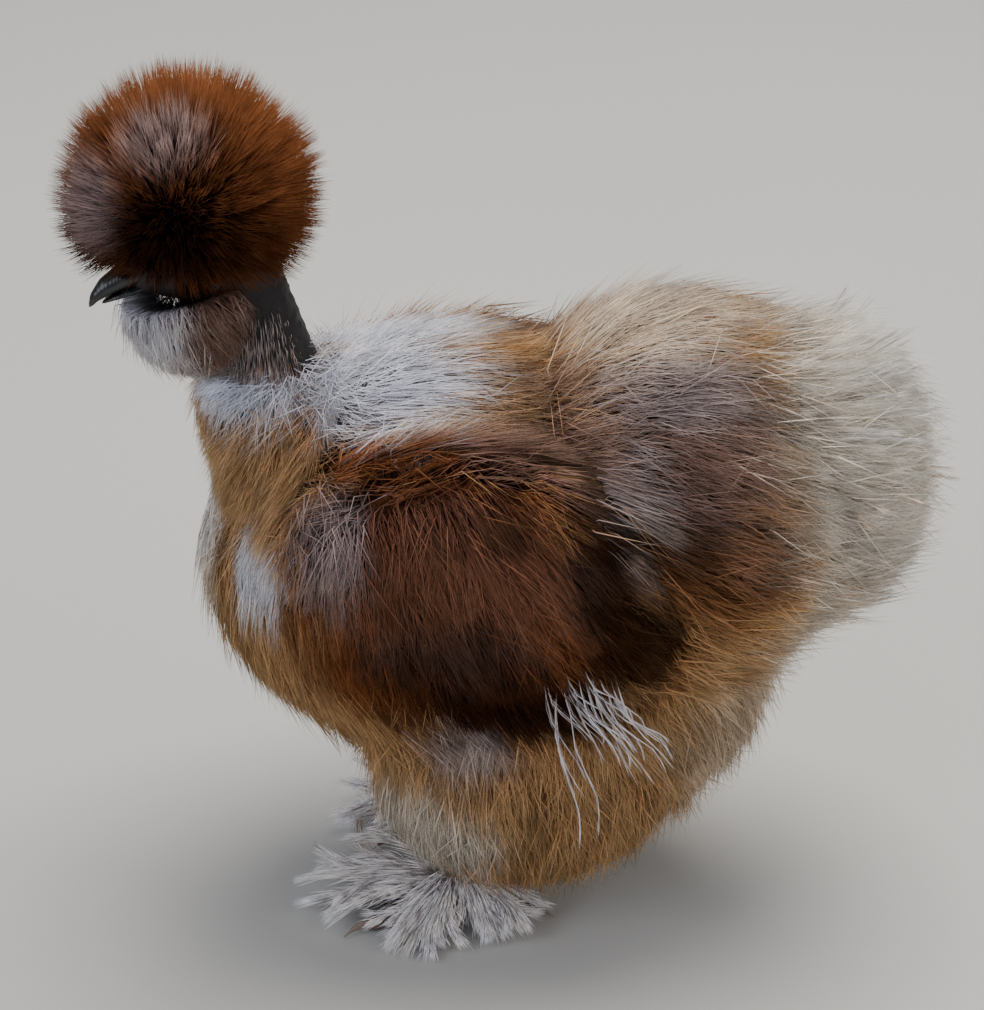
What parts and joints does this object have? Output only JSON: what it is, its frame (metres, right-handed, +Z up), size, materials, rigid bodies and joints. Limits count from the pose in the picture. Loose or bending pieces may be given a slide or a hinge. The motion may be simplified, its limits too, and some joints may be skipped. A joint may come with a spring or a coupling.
{
  "type": "silkie chicken",
  "caption": "Life-size standing silkie hen with a round crest, beard, bare neck, fluffy cushion and tail, drooping wings and feathered five-toed feet.",
  "frame": {"origin": "on the floor, under the centre of the bounding box", "axes": "+Z up, -X the way the breast faces, -Y the bird's left side"},
  "size_m": [0.3162, 0.1816, 0.3162],
  "materials": {
    "crest_feather": "loose silky feather, chestnut",
    "beard_feather": "loose silky feather, grey brown",
    "pale_feather": "downy feather, near white",
    "buff_feather": "loose silky feather, buff",
    "chestnut_feather": "loose silky feather, dark chestnut",
    "saddle_feather": "loose silky feather, brown with buff tips",
    "tail_feather": "loose silky feather, cream",
    "dark_skin": "matt bare skin, slate black",
    "earlobe_skin": "matt bare skin, blue grey",
    "eye": "wet and dark",
    "horn": "smooth dark horn",
    "foot_skin": "scaled slate skin",
    "foot_feather": "pale stringy feather over slate toes"
  },
  "bodies": {
    "root": {"crest": "crest_feather", "beard": "beard_feather", "neck_bow": "pale_feather", "breast": "buff_feather", "torso": "chestnut_feather", "saddle": "saddle_feather", "tail": "tail_feather", "abdomen": "buff_feather", "thigh_left": "buff_feather", "thigh_right": "buff_feather", "wing_left": "chestnut_feather", "wing_right": "chestnut_feather", "head": "dark_skin", "neck": "dark_skin", "comb": "dark_skin", "earlobe_left": "earlobe_skin", "earlobe_right": "earlobe_skin", "eye_left": "eye", "eye_right": "eye", "beak_upper": "horn", "beak_lower": "horn", "shank_left": "foot_skin", "shank_right": "foot_skin", "foot_left": "foot_feather", "foot_right": "foot_feather"}
  },
  "joints": []
}
